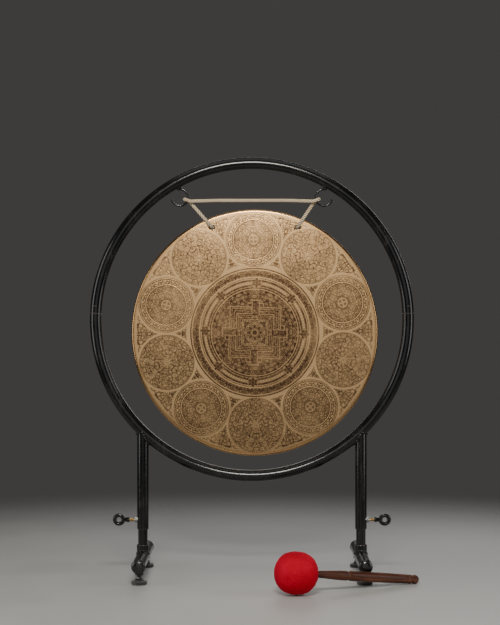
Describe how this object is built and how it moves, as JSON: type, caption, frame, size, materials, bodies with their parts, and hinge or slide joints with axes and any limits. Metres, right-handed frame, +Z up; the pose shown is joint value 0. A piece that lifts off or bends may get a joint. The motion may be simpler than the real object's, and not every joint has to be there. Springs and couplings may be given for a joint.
{
  "type": "tam-tam gong on a stand",
  "caption": "Bronze tam-tam hung by a rope from hooks in a round tubular stand on levelling feet, with a soft beater lying beside it.",
  "frame": {"origin": "on the floor, at the middle of the whole set's box, beater included", "axes": "+X to the player's right, +Y away from the player (from the struck face to the back), +Z up"},
  "size_m": [0.7874, 0.4919, 1.016],
  "materials": {
    "black_paint": "gloss black",
    "black_plastic": "glossy moulded end cap",
    "black_rubber": "matte",
    "bare_steel": "plain turned steel",
    "zinc_plate": "bright zinc plate",
    "yellow_plate": "yellow passivated thread",
    "bronze": "satin bronze with an etched pattern",
    "cotton_rope": "laid cotton",
    "red_felt": "fuzzy felt",
    "cork": "cork or hard foam",
    "turned_wood": "dark stained and varnished"
  },
  "bodies": {
    "posts": {"left_post": "black_paint", "right_post": "black_paint"},
    "frame": {"upper_hoop": "black_paint", "lower_hoop": "black_paint", "left_hoop_spigot": "bare_steel", "left_lock_screw": "black_paint", "left_hook": "black_paint", "left_leg_tube": "black_paint", "left_clamp_nut": "zinc_plate", "right_hoop_spigot": "bare_steel", "right_lock_screw": "black_paint", "right_hook": "black_paint", "right_leg_tube": "black_paint", "right_clamp_nut": "zinc_plate"},
    "left_foot": {"left_foot_bar": "black_paint", "left_foot_boss": "black_paint", "left_front_cap": "black_plastic", "left_front_level_nut": "black_paint", "left_back_cap": "black_plastic", "left_back_level_nut": "black_paint"},
    "left_front_leveller": {"left_front_level_stud": "bare_steel", "left_front_level_pad": "black_rubber"},
    "left_back_leveller": {"left_back_level_stud": "bare_steel", "left_back_level_pad": "black_rubber"},
    "left_bolt_shank": {"left_bolt_thread": "yellow_plate"},
    "left_bolt_ring": {"left_bolt_eye": "black_paint"},
    "right_foot": {"right_foot_bar": "black_paint", "right_foot_boss": "black_paint", "right_front_cap": "black_plastic", "right_front_level_nut": "black_paint", "right_back_cap": "black_plastic", "right_back_level_nut": "black_paint"},
    "right_front_leveller": {"right_front_level_stud": "bare_steel", "right_front_level_pad": "black_rubber"},
    "right_back_leveller": {"right_back_level_stud": "bare_steel", "right_back_level_pad": "black_rubber"},
    "right_bolt_shank": {"right_bolt_thread": "yellow_plate"},
    "right_bolt_ring": {"right_bolt_eye": "black_paint"},
    "sling": {"rope": "cotton_rope"},
    "gong": {"gong": "bronze"},
    "beater": {"beater_cover": "red_felt", "beater_core": "cork", "beater_handle": "turned_wood"}
  },
  "joints": [
    {"name": "frame_height", "type": "slide", "parent": "posts", "child": "frame", "axis": [0, 0, 1], "range_m": [-0.035, 0.14]},
    {"name": "left_foot_turn", "type": "hinge", "parent": "posts", "child": "left_foot", "pos_m": [-0.265, 0.078, 0.046], "axis": [0, 0, 1], "range_deg": [0, 90]},
    {"name": "left_front_leveller_turn", "type": "hinge", "parent": "left_foot", "child": "left_front_leveller", "pos_m": [-0.265, -0.052, 0.012], "axis": [0, 0, 1], "range_deg": [-180, 180]},
    {"name": "left_back_leveller_turn", "type": "hinge", "parent": "left_foot", "child": "left_back_leveller", "pos_m": [-0.265, 0.208, 0.012], "axis": [0, 0, 1], "range_deg": [-180, 180]},
    {"name": "left_bolt_travel", "type": "slide", "parent": "frame", "child": "left_bolt_shank", "axis": [-1, 0, 0], "range_m": [0, 0.0028]},
    {"name": "left_bolt_turn", "type": "hinge", "parent": "left_bolt_shank", "child": "left_bolt_ring", "pos_m": [-0.323, 0.078, 0.1355], "axis": [-1, 0, 0], "range_deg": [0, 812]},
    {"name": "right_foot_turn", "type": "hinge", "parent": "posts", "child": "right_foot", "pos_m": [0.265, 0.078, 0.046], "axis": [0, 0, -1], "range_deg": [0, 90]},
    {"name": "right_front_leveller_turn", "type": "hinge", "parent": "right_foot", "child": "right_front_leveller", "pos_m": [0.265, -0.052, 0.012], "axis": [0, 0, 1], "range_deg": [-180, 180]},
    {"name": "right_back_leveller_turn", "type": "hinge", "parent": "right_foot", "child": "right_back_leveller", "pos_m": [0.265, 0.208, 0.012], "axis": [0, 0, 1], "range_deg": [-180, 180]},
    {"name": "right_bolt_travel", "type": "slide", "parent": "frame", "child": "right_bolt_shank", "axis": [1, 0, 0], "range_m": [0, 0.0028]},
    {"name": "right_bolt_turn", "type": "hinge", "parent": "right_bolt_shank", "child": "right_bolt_ring", "pos_m": [0.323, 0.078, 0.1355], "axis": [1, 0, 0], "range_deg": [0, 812]},
    {"name": "sling_swing", "type": "hinge", "parent": "frame", "child": "sling", "pos_m": [0, 0.078, 0.9117], "axis": [1, 0, 0], "range_deg": [-20, 20]},
    {"name": "gong_tilt", "type": "hinge", "parent": "sling", "child": "gong", "pos_m": [0.007, 0.0906, 0.8465], "axis": [1, 0, 0], "range_deg": [-6, 0.5]},
    {"name": "beater_lift", "type": "slide", "parent": "posts", "child": "beater", "axis": [0, 0, 1], "range_m": [0, 0.25]}
  ],
  "couplings": [
    {"joint": "left_bolt_turn", "follows": "left_bolt_travel", "rad_per_m": 5026.5},
    {"joint": "right_bolt_turn", "follows": "right_bolt_travel", "rad_per_m": 5026.5}
  ]
}
